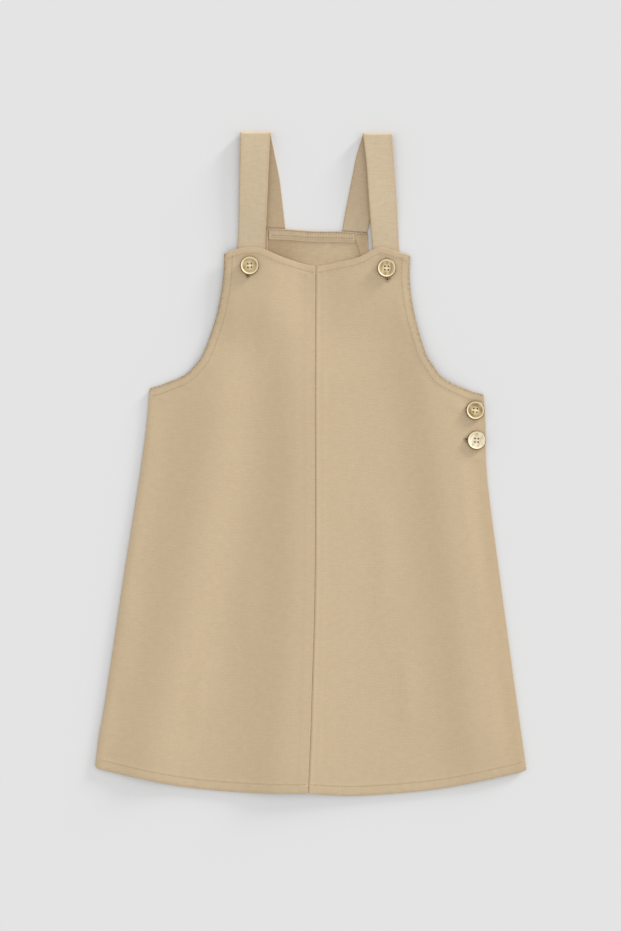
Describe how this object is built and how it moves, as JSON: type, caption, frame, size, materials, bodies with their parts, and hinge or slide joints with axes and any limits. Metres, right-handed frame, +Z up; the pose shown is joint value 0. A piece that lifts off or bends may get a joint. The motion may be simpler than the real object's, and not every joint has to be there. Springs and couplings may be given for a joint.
{
  "type": "pinafore dress",
  "caption": "A-line cotton pinafore dress laid flat, with a scalloped bib, buttoned shoulder straps, a centre-front seam and a buttoned side opening.",
  "frame": {"origin": "on the surface the dress lies on, under the middle of its bounding box", "axes": "+X across the dress to the viewer's right, +Y along it from the hem to the straps, +Z up from the surface, out of the dress's front"},
  "size_m": [0.4082, 0.628, 0.0087],
  "materials": {
    "cloth": "soft washed cotton in camel beige, plain weave with a faint slub",
    "strap_cloth": "the same cotton, doubled and pressed flat",
    "button": "horn-look, marbled dish with a pale polished rim",
    "thread": "matching sewing thread"
  },
  "bodies": {
    "root": {"back_panel": "cloth", "back_neck_hem": "cloth", "back_armhole_hem_left": "cloth", "back_armhole_hem_right": "cloth", "strap_left": "strap_cloth", "strap_right": "strap_cloth", "front_left_panel": "cloth", "front_right_panel": "cloth", "button_strap_left": "button", "button_strap_right": "button", "button_side_upper": "button", "button_side_lower": "button"}
  },
  "joints": []
}
